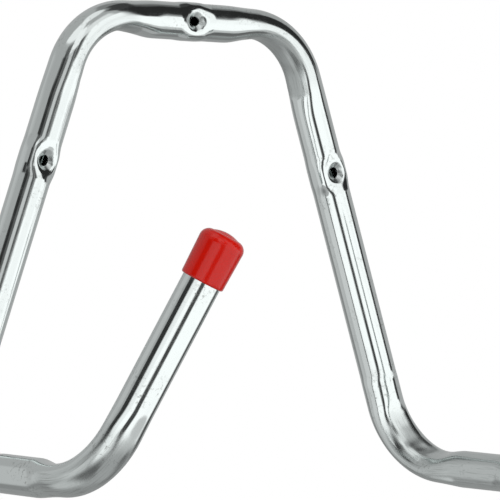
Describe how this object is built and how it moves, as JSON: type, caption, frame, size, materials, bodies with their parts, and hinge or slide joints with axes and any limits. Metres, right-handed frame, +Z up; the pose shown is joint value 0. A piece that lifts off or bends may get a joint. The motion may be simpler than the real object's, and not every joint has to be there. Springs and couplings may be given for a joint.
{
  "type": "wall hook",
  "caption": "Double wall hook bent from one round steel tube, with spread legs, forward arms, raised tips in soft end caps, and dished screw seats.",
  "frame": {"origin": "centre of the top screw hole, where its axis meets the wall", "axes": "+X along the wall from the left hook to the right one as seen from the front, +Y into the wall, +Z up"},
  "size_m": [0.3396, 0.1907, 0.2587],
  "materials": {
    "plated_steel": "bright zinc plating on drawn steel tube",
    "red_vinyl": "glossy dipped vinyl"
  },
  "bodies": {
    "root": {"bent_tube": "plated_steel", "cap_left": "red_vinyl", "cap_right": "red_vinyl"}
  },
  "joints": []
}
